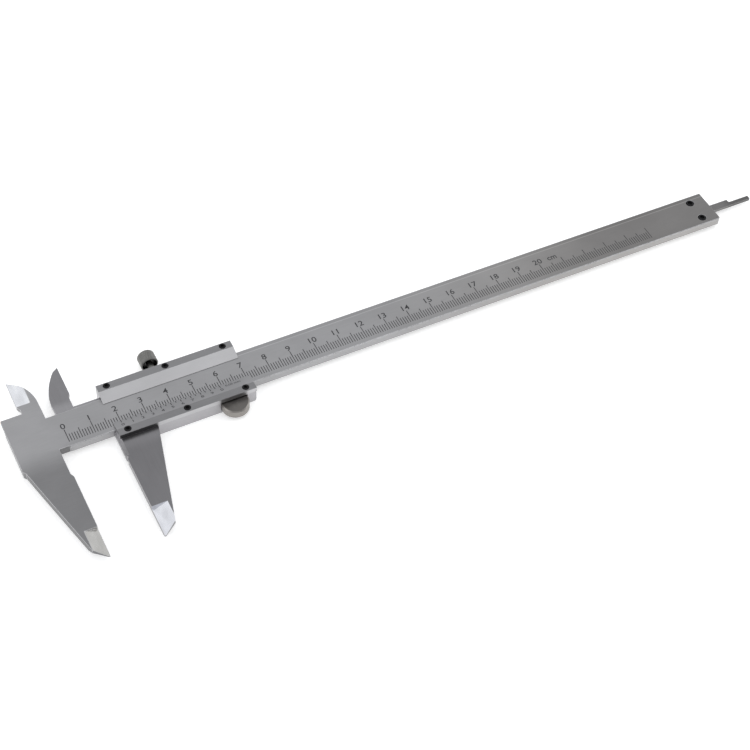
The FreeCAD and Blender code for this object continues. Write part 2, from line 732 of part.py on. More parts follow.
def make_thumb_wheel():
    """Disc that rolls on the beam's lower edge, with a blind bore from the back."""
    place = (cell["wheel_along"], wheel_low, cell["wheel_back"])
    wheel = new_body("thumb_wheel", place)
    section = new_sketch(wheel, "wheel_section", "XZ_Plane")
    radius, thick, slant = cell["wheel_radius"], cell["wheel_thick"], cell["wheel_chamfer"]
    bore = cell["axle_radius"] + cell["axle_slack"]
    depth = cell["axle_reach"] + cell["axle_slack"]
    draw_outline(section, [
        (bore, 0.0), (radius - slant, 0.0), (radius, slant), (radius, thick - slant),
        (radius - slant, thick), (0.0, thick), (0.0, depth), (bore, depth)])
    turn(wheel, section)

    axle = new_body("thumb_wheel_axle", (cell["wheel_along"], wheel_low, 0.0))
    pin = new_sketch(axle, "axle_section", "XZ_Plane")
    length = cell["wheel_back"] + cell["axle_reach"]
    sunk, slant = cell["pin_sunk"], cell["axle_chamfer"]
    draw_outline(pin, [
        (0.0, sunk), (cell["axle_radius"], sunk), (cell["axle_radius"], length - slant),
        (cell["axle_radius"] - slant, length), (0.0, length)])
    turn(axle, pin)


def make_depth_rod():
    rod_back = cell["beam_back"] + cell["running"]
    low, top = cell["rod_low"], cell["rod_low"] + cell["rod_wide"]
    shoulder = cell["rod_end"] - cell["rod_tip_length"]
    tip_top = low + cell["rod_tip_wide"]
    fillet = cell["rod_tip_fillet"]
    rod = new_body("depth_rod")
    outline = new_sketch(rod, "rod_outline", "XY_Plane", rod_back)
    draw_outline(outline, [
        (cell["rod_left"], low), (cell["rod_end"], low), (cell["rod_end"], tip_top),
        (shoulder + fillet, tip_top), (shoulder, tip_top + fillet, -fillet), (shoulder, top),
        (cell["rod_left"], top)])
    pad(rod, outline, cell["rod_thick"])
    holes = new_sketch(rod, "rod_rivet_holes", "XY_Plane", rod_back)
    for place in rivet_places:
        draw_circle(holes, place, rod_middle, cell["rivet_width"])
    pocket(rod, holes, cell["rod_thick"], along_normal=True)

    # rivets through the slide's back wall hold the rod
    for count, place in enumerate(rivet_places, 1):
        rivet = new_body(f"depth_rod_rivet_{count}", (place, rod_middle, 0.0))
        shank = new_sketch(rivet, f"rivet_section_{count}", "XZ_Plane")
        radius = cell["rivet_width"] / 2
        reach = rod_back + cell["rod_thick"]
        sunk = cell["pin_sunk"]
        draw_outline(shank, [(0.0, sunk), (radius, sunk), (radius, reach), (0.0, reach)])
        turn(rivet, shank)


def make_end_stop():
    """Plate on the beam's back at its right end: stops the slide and guides the rod."""
    body = new_body("end_stop_plate")
    outline = new_sketch(body, "stop_outline", "XY_Plane")
    margin = cell["stop_margin"]
    draw_rectangle(outline, cell["beam_end"] - cell["stop_length"], cell["stop_low"],
                   cell["beam_end"] - margin, cell["beam_height"] - margin)
    pad(body, outline, cell["beam_back"])
    holes = new_sketch(body, "stop_plate_holes", "XY_Plane", cell["beam_back"])
    for height in stop_heights:
        draw_circle(holes, stop_along, height, cell["stop_shank"] + cell["screw_slack"])
    pocket(body, holes, cell["beam_back"])


def check_and_export():
    """Stop on any failed feature, then write one STEP file per sub-part."""
    document.recompute()
    for item in document.Objects:
        if "Invalid" in item.State or "Error" in item.State:
            raise RuntimeError(f"{item.Label} failed: {item.State}")
    os.makedirs("parts", exist_ok=True)
    for body in subparts:
        shape = body.Shape
        if shape.isNull() or not shape.isValid() or len(shape.Solids) != 1:
            raise RuntimeError(f"{body.Label} is not one valid solid")
        shape.exportStep(f"parts/{body.Label}.step")
        print(f"{body.Label}: {shape.Volume:.1f} mm3")


make_beam()
make_slide()
make_plates()
make_screws()
make_lock_screw()
make_gib()
make_gib_screws()
make_thumb_wheel()
make_depth_rod()
make_end_stop()
check_and_export()
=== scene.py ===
import math
import bpy
import bmesh
from mathutils import Matrix, Vector


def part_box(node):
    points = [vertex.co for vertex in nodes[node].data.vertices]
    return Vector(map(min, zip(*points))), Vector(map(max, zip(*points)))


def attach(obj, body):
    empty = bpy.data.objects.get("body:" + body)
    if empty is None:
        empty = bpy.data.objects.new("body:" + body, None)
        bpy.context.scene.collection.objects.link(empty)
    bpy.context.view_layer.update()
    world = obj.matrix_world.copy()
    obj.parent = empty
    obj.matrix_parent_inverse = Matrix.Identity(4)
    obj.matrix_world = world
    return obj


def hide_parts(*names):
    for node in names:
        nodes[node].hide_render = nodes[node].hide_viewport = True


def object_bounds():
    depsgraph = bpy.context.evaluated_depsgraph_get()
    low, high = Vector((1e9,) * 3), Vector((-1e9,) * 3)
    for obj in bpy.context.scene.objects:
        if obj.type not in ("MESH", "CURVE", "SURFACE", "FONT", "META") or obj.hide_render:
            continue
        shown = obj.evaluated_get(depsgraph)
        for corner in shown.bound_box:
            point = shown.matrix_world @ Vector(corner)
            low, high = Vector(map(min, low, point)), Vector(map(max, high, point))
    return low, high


MM = 0.001

# design dimensions of the scales, in millimetres
ZERO_FROM_FACE = 3.8            # main scale's zero line, right of the fixed measuring face
SCALE_LAST = 250                # last graduation on the beam
NUMBERED_LAST = 20              # last numbered centimetre
SCALE_BASE = 2.1                # foot of the lines above the beam's lower edge
LINE_TOPS = {10: 8.1, 5: 6.9, 1: 5.6}
LINE_WIDE = 0.30
MARK_SUNK = 0.02                # how far lines and letters reach into the steel
MARK_PROUD = 0.008              # how far they stand out of it
NUMBER_MIDDLE = 9.65
NUMBER_HIGH = 2.5
NUMBER_WIDEN = 1.1
UNIT_RIGHT = 6.6                # middle of "cm", right of the last numbered line
PLATE_ABOVE_GUIDE = 3.5         # upper edge of the vernier plate above the beam's lower edge
BEVEL_DROP = 5.0                # height of the plate's bevel, measured along Y
BEVEL_LIP = 0.15
LETTER_BOLDER = 0.010           # thickens the strokes, as a share of the letter size
FACET_DROP = 37.0               # top of the jaws' ground facets, below the guide edge
VERNIER_ZERO = 3.05             # vernier's zero line, right of the plate's left end
VERNIER_SPAN = 39.0
VERNIER_PARTS = 20
VERNIER_LINES = (1.75, 1.25)    # even and odd lines, down from the plate's upper edge
VERNIER_GAP = 0.03              # between the lines and that edge
VERNIER_NUMBERS = (-3.2, 1.55, 1.15)    # middle, height and widening
READING_RIGHT = 5.0             # middle of "0.05 mm", right of the last line
READING = (-1.6, 1.2)           # middle and height

# turned pieces, in millimetres
ON_RIM = 0.01                   # a point this close to the rim counts as on it
KNOB_RADIUS = 3.45
KNOB_HIGH = 5.3
KNOB_CHAMFER = 0.3
KNOB_DOME = 0.8
KNOB_TEETH = 30
KNOB_KNURL_DEEP = 0.20
KNOB_KNURL_PITCH = 1.45         # rise over which a groove moves on by one tooth
BAND_ABOVE_FOOT = 0.45          # plain rim below the knurled band
BAND_BELOW_TOP = 0.95           # plain rim and dome above it
BAND_FADE = 0.2
RECESS_RADIUS = 2.95
RECESS_DEEP = 1.3
LIP = 0.1                       # bevel round the recess
STEM_RADIUS = 1.3
STEM_POINT = 0.5
WHEEL_BEVEL = 0.45
WHEEL_TEETH = 90
WHEEL_KNURL_DEEP = 0.07
BORE_RADIUS = 1.05
BORE_DEEP = 2.75
DISH_DEEP = 0.06

# rounded edges of the CAD nodes, in millimetres and degrees
BODY_EDGE = 0.10
PLATE_EDGE = 0.07
STRIP_EDGE = 0.08
SMALL_EDGE = 0.05
WELD_GAP = 0.001
FLAT_WITHIN = 0.2
EDGE_ANGLE = 12                 # an edge that turns by less than this is not rounded

# where a painted light or shade tone starts and where it is full, as a part of the face's normal
FRONT = (0.97, 0.995)           # along Z: faces straight to the front
DOWN = (-0.6, -0.95)            # along Y: faces towards the jaws' tips
LEFT = (-0.4, -0.7)             # along X: faces towards the fixed jaw's end
FACET_LEAN = (0.18, 0.34)       # along X: the jaws' ground facets
STEP_REACH = 0.3                # millimetres above and below the facets' top
FACET_SMOOTHER = 0.20
# painted highlight line, and painted shade in a strip above it
HIGHLIGHT_LINE_HEIGHT = 14.1               # light line on the beam, above its lower edge

# grinding streaks, in waves per metre along X, Y and Z
GROUND_ALONG = (140, 5200, 5200)
GROUND_ACROSS = (4200, 130, 4200)

# studio
FLOOR_HALF = 8.0                # metres; wide enough to fill a low view from any side
FLOOR_MIDDLE = 0.15
FLOOR_GLOW = 0.45
SKY_FADE = (-0.60, -0.05)       # direction along Y where the change starts and ends
SKY_STRENGTH = (0.58, 0.85)
SIDE_WATTS = 3.2
TOP_WATTS = 2.2

# camera: place in metres, then the directions of its right side and its back
CAMERA_PLACE = (-0.075235, -0.332272, 0.480059)
CAMERA_RIGHT = (0.894217, -0.445915, 0.039182)
CAMERA_BACK = (-0.312011, -0.558134, 0.768853)
SENSOR_WIDE = 36.0              # millimetres, like the focal length
FOCAL_LENGTH = 79.22
LENS_SHIFT = (-0.0029, 0.0003)

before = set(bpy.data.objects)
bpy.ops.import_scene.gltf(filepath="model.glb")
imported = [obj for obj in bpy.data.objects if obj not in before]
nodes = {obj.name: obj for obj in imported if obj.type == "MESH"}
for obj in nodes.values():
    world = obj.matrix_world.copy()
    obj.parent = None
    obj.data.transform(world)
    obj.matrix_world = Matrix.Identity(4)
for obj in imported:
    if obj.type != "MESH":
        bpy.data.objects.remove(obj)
cad_low, cad_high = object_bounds()

beam_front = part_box("beam")[1].z
plate_low, plate_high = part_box("vernier_plate")
guide = plate_high.y - PLATE_ABOVE_GUIDE * MM      # the beam's lower edge


# ---------------------------------------------------------------- materials

class Shader:
    """A node material, built by naming what feeds each input of one Principled shader."""

    def __init__(self, name, metallic=1.0, roughness=0.4):
        self.material = bpy.data.materials.new(name)
        self.material.use_nodes = True
        self.tree = self.material.node_tree
        self.tree.nodes.clear()
        self.output = self.tree.nodes.new("ShaderNodeOutputMaterial")
        self.surface = self.tree.nodes.new("ShaderNodeBsdfPrincipled")
        self.surface.inputs["Metallic"].default_value = metallic
        self.surface.inputs["Roughness"].default_value = roughness
        self.join(self.surface.outputs["BSDF"], self.output.inputs["Surface"])
        self.places = self.tree.nodes.new("ShaderNodeTexCoord")

    def join(self, source, target):
        self.tree.links.new(source, target)

    def feed(self, target, value):
        """A number, a colour or another node's output goes into the input."""
        if isinstance(value, bpy.types.NodeSocket):
            self.join(value, target)
        else:
            target.default_value = value

    def maths(self, operation, first, second=0.0):
        node = self.tree.nodes.new("ShaderNodeMath")
        node.operation = operation
        self.feed(node.inputs[0], first)
        self.feed(node.inputs[1], second)
        return node.outputs[0]

    def times(self, first, *others):
        """The values multiplied together."""
        for other in others:
            first = self.maths("MULTIPLY", first, other)
        return first

    def ramp(self, value, start, end, low=0.0, high=1.0):
        """The value's place between start and end, as low to high, eased and clamped."""
        node = self.tree.nodes.new("ShaderNodeMapRange")
        node.interpolation_type = "SMOOTHSTEP"
        for count, number in enumerate((start, end, low, high), 1):
            node.inputs[count].default_value = number
        self.join(value, node.inputs[0])
        return node.outputs[0]

    def band(self, value, start, end, soft):
        """1 between start and end, fading to 0 over soft on each side."""
        rise = self.ramp(value, start - soft, start + soft)
        fall = self.ramp(value, end - soft, end + soft, 1.0, 0.0)
        return self.times(rise, fall)

    def noise(self, stretch, detail=4.0, rough=0.6):
        """Noise whose waves per metre along X, Y and Z are given by stretch."""
        scale = self.tree.nodes.new("ShaderNodeMapping")
        scale.inputs["Scale"].default_value = stretch
        self.join(self.places.outputs["Object"], scale.inputs["Vector"])
        node = self.tree.nodes.new("ShaderNodeTexNoise")
        node.inputs["Scale"].default_value = 1.0
        node.inputs["Detail"].default_value = detail
        node.inputs["Roughness"].default_value = rough
        self.join(scale.outputs["Vector"], node.inputs["Vector"])
        return node.outputs["Fac"]

    def parts(self, output):
        """The X, Y and Z parts of the place or the normal."""
        node = self.tree.nodes.new("ShaderNodeSeparateXYZ")
        self.join(self.places.outputs[output], node.inputs[0])
        return node.outputs

    def mix(self, factor, first, second):
        node = self.tree.nodes.new("ShaderNodeMix")
        node.data_type = "RGBA"
        self.feed(node.inputs["Factor"], factor)
        self.feed(node.inputs["A"], first)
        self.feed(node.inputs["B"], second)
        return node.outputs["Result"]

    def grey(self, colour, factor):
        """The colour with its brightness multiplied by the factor."""
        node = self.tree.nodes.new("ShaderNodeVectorMath")
        node.operation = "SCALE"
        self.feed(node.inputs[0], colour[:3] if isinstance(colour, tuple) else colour)
        self.feed(node.inputs["Scale"], factor)
        return node.outputs[0]

    def bump(self, height, strength, distance=0.00002):
        node = self.tree.nodes.new("ShaderNodeBump")
        node.inputs["Strength"].default_value = strength
        node.inputs["Distance"].default_value = distance
        self.join(height, node.inputs["Height"])
        self.join(node.outputs["Normal"], self.surface.inputs["Normal"])

    def finish(self, colour, roughness):
        self.feed(self.surface.inputs["Base Color"], colour)
        self.feed(self.surface.inputs["Roughness"], roughness)
        return self.material


def rgb(red, green, blue):
    return (red, green, blue, 1.0)


def worn_grain(shader, stretch, colour, spread=0.10):
    """Fine grinding streaks and broad uneven patches, as a colour and a streak height."""
    streaks = shader.noise(stretch, 3.0, 0.65)
    patches = shader.noise((55, 75, 75), 3.0, 0.55)
    level = shader.maths("ADD", shader.ramp(streaks, 0.25, 0.75, 1 - spread / 2, 1 + spread / 2),
                         shader.ramp(patches, 0.3, 0.7, -spread / 3, spread / 3))
    return shader.grey(colour, level), streaks


def facet_mask(shader):
    """1 on the jaws' ground facets, which lean a little sideways, and the steps above them, where
    the painted sheen and smoother finish go.
    """
    lean = shader.parts("Normal")
    sideways = shader.band(shader.maths("ABSOLUTE", lean[0]), *FACET_LEAN, 0.02)
    facing = shader.ramp(shader.maths("ABSOLUTE", lean[2]), 0.90, 0.93)
    height = shader.parts("Object")[1]
    step = shader.band(height, guide - (FACET_DROP + STEP_REACH) * MM,
                       guide - (FACET_DROP - STEP_REACH) * MM, 0.05 * MM)
    step = shader.times(step, shader.ramp(lean[1], -0.7, -0.9))
    return shader.maths("MAXIMUM", shader.times(sideways, facing), step)


def polished_over(shader, colour, roughness, painted_sheen):
    """Adds the polished facets over a satin colour and roughness: smoother, with a bright painted
    sheen colour in place of their reflections.
    """
    mask = facet_mask(shader)
    smear = shader.noise((260, 120, 120), 3.0, 0.5)
    sheen_colour = shader.grey(painted_sheen, shader.ramp(smear, 0.3, 0.7, 0.9, 1.08))
    smoother = shader.times(mask, -FACET_SMOOTHER)
    return shader.mix(mask, colour, sheen_colour), shader.maths("ADD", roughness, smoother)


def streak_roughness(shader, streaks, low, high):
    return shader.ramp(streaks, 0.25, 0.75, low, high)


def notch_shadow(shader, place, lean):
    """How much darker the upper wall of the notch between the fixed jaw and the beam is."""
    across = shader.band(place[0], -2.0 * MM, 3.3 * MM, 0.2 * MM)
    faces_down = shader.ramp(lean[1], -0.5, -0.9)
    up_in_notch = shader.ramp(place[1], guide - 0.5 * MM, guide)
    return shader.times(across, faces_down, up_in_notch, 0.55)


def with_upper_line(shader, tone, place, faces_front):
    """Adds a painted highlight line along the beam's upper edge, and a painted darker strip above
    it.
    """
    right = shader.ramp(place[0], 10 * MM, 60 * MM)
    line = shader.band(place[1], guide + (HIGHLIGHT_LINE_HEIGHT - 0.15) * MM,
                       guide + (HIGHLIGHT_LINE_HEIGHT + 0.15) * MM, 0.06 * MM)
    tone = shader.maths("ADD", tone, shader.times(line, right, faces_front, 0.30))
    above = shader.ramp(place[1], guide + (HIGHLIGHT_LINE_HEIGHT + 0.2) * MM,
                        guide + (HIGHLIGHT_LINE_HEIGHT + 0.4) * MM, 0.0, -0.06)
    return shader.maths("ADD", tone, shader.times(above, right))


def beam_steel():
    """Satin steel, warmer towards the far end, with painted shade: its front darker towards the
    far end, its jaw darker.
    """
    shader = Shader("beam_satin_steel")
    place = shader.parts("Object")
    lean = shader.parts("Normal")
    warmer = shader.ramp(place[0], 110 * MM, 230 * MM)
    base = shader.mix(warmer, rgb(0.372, 0.370, 0.376), rgb(0.380, 0.370, 0.362))
    colour, streaks = worn_grain(shader, GROUND_ALONG, base)
    faces_front = shader.ramp(lean[2], *FRONT)
    # painted shade and light: the jaw and the left faces darker, the front darker towards the far
    # end, the head and the lower faces lighter
    jaw_painted_shade = shader.ramp(place[1], guide + 4 * MM, guide - 10 * MM, 1.0, 0.62)
    end_painted_shade = shader.times(shader.ramp(place[0], 100 * MM, 180 * MM, 1.0, 0.91),
                          shader.ramp(place[0], 180 * MM, 245 * MM, 1.0, 0.68))
    end_painted_shade = shader.maths("MAXIMUM", end_painted_shade, shader.maths("SUBTRACT", 1.0, faces_front))
    head_painted_light = shader.ramp(place[0], 6 * MM, -6 * MM, 1.0, 1.07)
    tone = shader.times(jaw_painted_shade, end_painted_shade, head_painted_light, shader.ramp(lean[1], *DOWN, 1.0, 1.10),
                        shader.ramp(lean[0], *LEFT, 1.0, 0.76))
    tone = shader.maths("SUBTRACT", tone, notch_shadow(shader, place, lean))
    tone = with_upper_line(shader, tone, place, faces_front)
    colour = shader.grey(colour, tone)
    # painted sheen of the facets: those that lean left are painted brighter than those that lean
    # right
    leans_left = shader.ramp(lean[0], 0.05, -0.05)
    painted_sheen = shader.mix(leans_left, rgb(0.62, 0.61, 0.585), rgb(0.92, 0.93, 0.96))
    roughness = streak_roughness(shader, streaks, 0.34, 0.46)
    colour, roughness = polished_over(shader, colour, roughness, painted_sheen)
    shader.bump(streaks, 0.10)
    return shader.finish(colour, roughness)


def slide_steel():
    """Satin steel, with painted shade on the jaw and nib and a painted shadow in the strip under
    the vernier plate.
    """
    shader = Shader("slide_satin_steel")
    place = shader.parts("Object")
    lean = shader.parts("Normal")
    colour, streaks = worn_grain(shader, GROUND_ACROSS, rgb(0.350, 0.345, 0.356))
    # painted shade on the jaw and nib, painted shadow under the vernier plate, painted light on
    # the lower and left faces
    jaw_painted_shade = shader.ramp(place[1], guide - 1 * MM, guide - 12 * MM, 1.0, 0.60)
    nib_painted_shade = shader.ramp(place[1], guide + 19 * MM, guide + 23 * MM, 1.0, 0.76)
    plate_painted_shadow = shader.times(shader.ramp(place[1], guide - 7.2 * MM, guide - 4.6 * MM),
                               shader.ramp(place[1], guide - 4.4 * MM, guide - 4.5 * MM),
                               shader.ramp(lean[2], 0.7, 0.9))
    tone = shader.times(jaw_painted_shade, nib_painted_shade, shader.ramp(plate_painted_shadow, 0.0, 1.0, 1.0, 0.45),
                        shader.ramp(lean[1], *DOWN, 1.0, 1.34),
                        shader.ramp(lean[0], *LEFT, 1.0, 1.45))
    colour = shader.grey(colour, tone)
    roughness = streak_roughness(shader, streaks, 0.34, 0.46)
    # painted sheen colour of the facets
    colour, roughness = polished_over(shader, colour, roughness, rgb(0.86, 0.87, 0.91))
    shader.bump(streaks, 0.10)
    return shader.finish(colour, roughness)


def plate_steel():
    """Satin plates: painted shade makes the flats that carry the screws darker than the bevels.
    """
    shader = Shader("plate_satin_steel")
    place = shader.parts("Object")
    lean = shader.parts("Normal")
    colour, streaks = worn_grain(shader, GROUND_ALONG, rgb(0.365, 0.363, 0.370))
    # painted shade and light: flats darker, upper plate and lower faces lighter, painted shadow
    # on the lower faces over the jaw and the wheel
    flat = shader.ramp(lean[2], *FRONT, 1.0, 0.70)
    upper = shader.ramp(place[1], guide + 6 * MM, guide + 10 * MM, 1.0, 1.10)
    shadow_over_jaw = shader.ramp(place[0], plate_low.x + 14 * MM, plate_low.x + 15.5 * MM, 1.0, 0.0)
    shadow_over_wheel = shader.band(place[0], 60.3 * MM, 70.9 * MM, 0.4 * MM)
    plate_underside_shadow = shader.maths("MAXIMUM", shadow_over_jaw, shader.times(shadow_over_wheel, 0.52))
    plate_underside_shadow = shader.times(plate_underside_shadow, shader.ramp(lean[1], *DOWN))
    tone = shader.times(flat, upper, shader.ramp(lean[1], *DOWN, 1.0, 1.34),
                        shader.ramp(plate_underside_shadow, 0.0, 1.0, 1.0, 0.30))
    colour = shader.grey(colour, tone)
    shader.bump(streaks, 0.10)
    return shader.finish(colour, streak_roughness(shader, streaks, 0.33, 0.45))


def edge_steel():
    shader = Shader("edge_wear_and_highlight_steel")
    # lighter than the faces: partly worn edges, partly a painted highlight on the rounded edges
    colour, streaks = worn_grain(shader, (900, 900, 900), rgb(0.50, 0.50, 0.51), 0.3)
    return shader.finish(colour, streak_roughness(shader, streaks, 0.22, 0.42))


def rod_steel():
    shader = Shader("rod_drawn_steel")
    place = shader.parts("Object")
    colour, streaks = worn_grain(shader, (90, 6500, 6500), rgb(0.205, 0.203, 0.200), 0.16)
    # painted shade darkens the rod's tip
    colour = shader.grey(colour, shader.ramp(place[0], 292 * MM, 298 * MM, 1.0, 0.70))
    shader.bump(streaks, 0.12)
    return shader.finish(colour, streak_roughness(shader, streaks, 0.30, 0.46))


def turned_steel(name, colour, spin, centre, shade=None):
    """Turned metal with fine rings about the spin axis; shade gives a tone for the shader."""
    shader = Shader(name)
    shift = shader.tree.nodes.new("ShaderNodeMapping")
    shift.vector_type = "POINT"
    shift.inputs["Location"].default_value = -centre
    shader.join(shader.places.outputs["Object"], shift.inputs["Vector"])
    waves = shader.tree.nodes.new("ShaderNodeTexWave")
    waves.wave_type = "RINGS"
    waves.rings_direction = spin
    waves.inputs["Scale"].default_value = 900.0
    waves.inputs["Distortion"].default_value = 1.5
    waves.inputs["Detail"].default_value = 2.0
    shader.join(shift.outputs["Vector"], waves.inputs["Vector"])
    rings = waves.outputs["Fac"]
    patches = shader.noise((420, 420, 420), 4.0, 0.6)
    level = shader.maths("ADD", shader.ramp(rings, 0.0, 1.0, 0.94, 1.03),
                         shader.ramp(patches, 0.3, 0.7, -0.07, 0.07))
    if shade:
        level = shader.times(level, shade(shader))
    shader.bump(rings, 0.08)
    return shader.finish(shader.grey(colour, level), shader.ramp(patches, 0.3, 0.7, 0.28, 0.42))


def dark_recess(shader):
    """Painted shade in the hollow under the knob, but not on the stem."""
    place = shader.parts("Object")
    low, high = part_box("lock_screw")
    across = shader.maths("SUBTRACT", place[0], (low.x + high.x) / 2)
    along = shader.maths("SUBTRACT", place[2], (low.z + high.z) / 2)
    squares = shader.maths("ADD", shader.times(across, across), shader.times(along, along))
    reach = shader.maths("SQRT", squares)
    hollow = shader.band(reach, (STEM_RADIUS + 0.1) * MM, (RECESS_RADIUS + 0.05) * MM, 0.05 * MM)
    floor = high.y - (KNOB_HIGH - RECESS_DEEP) * MM
    near_floor = shader.ramp(place[1], floor + 0.4 * MM, floor + 0.1 * MM)
    return shader.ramp(shader.times(hollow, near_floor), 0.0, 1.0, 1.0, 0.12)


def dark_face(shader):
    """Painted shade: the wheel's flat faces are darker than its rim."""
    lean = shader.parts("Normal")
    return shader.ramp(shader.maths("ABSOLUTE", lean[2]), 0.85, 0.98, 1.0, 0.62)


def black_oxide():
    """Blackened screws, with a little bare steel showing where handling rubbed it."""
    shader = Shader("black_oxide_steel", metallic=0.7)
    rubbed = shader.noise((1500, 1500, 1500), 5.0, 0.7)
    colour = shader.mix(shader.ramp(rubbed, 0.60, 0.80), rgb(0.010, 0.010, 0.011),
                        rgb(0.045, 0.045, 0.048))
    shader.bump(rubbed, 0.15)
    return shader.finish(colour, shader.ramp(rubbed, 0.3, 0.7, 0.38, 0.55))


def brass():
    shader = Shader("gib_brass_strip")
    colour, streaks = worn_grain(shader, (120, 4000, 4000), rgb(0.66, 0.50, 0.24), 0.2)
    shader.bump(streaks, 0.10)
    return shader.finish(colour, streak_roughness(shader, streaks, 0.28, 0.42))


def engraving_paint():
    """Grey-black filling of the engraved lines and numbers, uneven where it has worn."""
    shader = Shader("engraving_fill", metallic=0.0)
    wear = shader.noise((900, 900, 900), 5.0, 0.7)
    colour = shader.mix(shader.ramp(wear, 0.35, 0.75), rgb(0.020, 0.020, 0.022),
                        rgb(0.060, 0.060, 0.063))
    return shader.finish(colour, shader.ramp(wear, 0.3, 0.7, 0.5, 0.7))


# ---------------------------------------------------------------- carried-over CAD nodes

def dress(node, finish, edge, width):
    """A CAD node's materials, with small rounded edges that catch the light."""
    piece = nodes[node]
    piece.data.materials.clear()
    piece.data.materials.append(finish)
    piece.data.materials.append(edge)
    weld = piece.modifiers.new("weld", "WELD")
    weld.merge_threshold = WELD_GAP * MM
    flatten = piece.modifiers.new("flatten", "DECIMATE")
    flatten.decimate_type = "DISSOLVE"
    flatten.angle_limit = math.radians(FLAT_WITHIN)
    rounding = piece.modifiers.new("rounding", "BEVEL")
    rounding.width = width * MM
    rounding.segments = 2
    rounding.limit_method = "ANGLE"
    rounding.angle_limit = math.radians(EDGE_ANGLE)
    rounding.material = 1
    shading = piece.modifiers.new("shading", "WEIGHTED_NORMAL")
    shading.keep_sharp = False
    shading.weight = 100


# ---------------------------------------------------------------- mesh pieces

def piece_from(bm, name, body, material, smooth_below=None):
    """A finished piece from a bmesh, riding on a body."""
    mesh = bpy.data.meshes.new(name)
    bm.normal_update()
    bm.to_mesh(mesh)
    bm.free()
    mesh.materials.append(material)
    if smooth_below is not None:
        mesh.shade_smooth()
        mesh.set_sharp_from_angle(angle=math.radians(smooth_below))
    piece = bpy.data.objects.new(name, mesh)
    bpy.context.scene.collection.objects.link(piece)
    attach(piece, body)
    return piece


def add_slab(bm, place, left, low, right, high):
    """A thin block on the surface given by the matrix place, in millimetres."""
    corners = [(left, low), (right, low), (right, high), (left, high)]
    rings = [[bm.verts.new(place @ Vector((x * MM, y * MM, z * MM))) for x, y in corners]
             for z in (-MARK_SUNK, MARK_PROUD)]
    bm.faces.new(reversed(rings[0]))
    bm.faces.new(rings[1])
    for count in range(4):
        after = (count + 1) % 4
        bm.faces.new((rings[0][count], rings[0][after], rings[1][after], rings[1][count]))


def letter_mesh(text, high, widen=1.0):
    """The text as a thin solid, centred on the origin, with digits of that height in mm."""
    curve = bpy.data.curves.new("letters", "FONT")
    curve.body = text
    curve.align_x = "CENTER"
    curve.size = 1.0
    curve.resolution_u = 3
    holder = bpy.data.objects.new("letters", curve)
    bpy.context.scene.collection.objects.link(holder)
    ruler = bpy.data.curves.new("ruler", "FONT")
    ruler.body = "0"
    ruler_holder = bpy.data.objects.new("ruler", ruler)
    bpy.context.scene.collection.objects.link(ruler_holder)
    bpy.context.view_layer.update()
    scale = high * MM / ruler_holder.dimensions.y
    curve.extrude = (MARK_SUNK + MARK_PROUD) / 2 * MM / scale
    curve.offset = LETTER_BOLDER
    bpy.context.view_layer.update()
    graph = bpy.context.evaluated_depsgraph_get()
    mesh = bpy.data.meshes.new_from_object(holder.evaluated_get(graph))
    mesh.transform(Matrix.Diagonal((scale * widen, scale, scale, 1.0)))
    middle = (MARK_PROUD - MARK_SUNK) / 2
    mesh.transform(Matrix.Translation((0, -high * MM / 2, middle * MM)))
    for item, data in ((holder, curve), (ruler_holder, ruler)):
        bpy.data.objects.remove(item)
        bpy.data.curves.remove(data)
    return mesh


def add_letters(bm, place, text, x, y, high, widen=1.0):
    """Text centred on x and y of the surface given by the matrix place, in millimetres."""
    mesh = letter_mesh(text, high, widen)
    mesh.transform(place @ Matrix.Translation((x * MM, y * MM, 0)))
    bm.from_mesh(mesh)
    bpy.data.meshes.remove(mesh)


def turned_mesh(bm, profile, steps, to_place, ripple=None):
    """Revolves (radius, height) points about the local Z axis; ripple cuts the radius."""
    rings = []
    for radius, height in profile:
        if radius == 0:
            rings.append([bm.verts.new(to_place @ Vector((0, 0, height * MM)))])
            continue
        ring = []
        for step in range(steps):
            angle = 2 * math.pi * step / steps
            cut = ripple(radius, height, angle) if ripple else 0.0
            reach = (radius - cut) * MM
            point = Vector((reach * math.cos(angle), reach * math.sin(angle), height * MM))
            ring.append(bm.verts.new(to_place @ point))
        rings.append(ring)
    for inner, outer in zip(rings, rings[1:]):
        for step in range(steps):
            after = (step + 1) % steps
            if len(inner) == 1:
                bm.faces.new((inner[0], outer[step], outer[after]))
            elif len(outer) == 1:
                bm.faces.new((inner[step], outer[0], inner[after]))
            else:
                bm.faces.new((inner[step], outer[step], outer[after], inner[after]))
    bmesh.ops.recalc_face_normals(bm, faces=bm.faces)


# ---------------------------------------------------------------- scales

def make_beam_scale(material):
    """Millimetre lines, centimetre numbers and the unit on the beam's front."""
    place = Matrix.Translation((ZERO_FROM_FACE * MM, guide, beam_front))
    lines = bmesh.new()
    half = LINE_WIDE / 2
    for mark in range(SCALE_LAST + 1):
        step = 10 if mark % 10 == 0 else 5 if mark % 5 == 0 else 1
        add_slab(lines, place, mark - half, SCALE_BASE, mark + half, LINE_TOPS[step])
    piece_from(lines, "beam_graduations", "beam_group", material)
    numbers = bmesh.new()
    for number in range(NUMBERED_LAST + 1):
        add_letters(numbers, place, str(number), number * 10, NUMBER_MIDDLE, NUMBER_HIGH,
                    NUMBER_WIDEN)
    add_letters(numbers, place, "cm", NUMBERED_LAST * 10 + UNIT_RIGHT, NUMBER_MIDDLE, NUMBER_HIGH)
    piece_from(numbers, "beam_numbers", "beam_group", material)


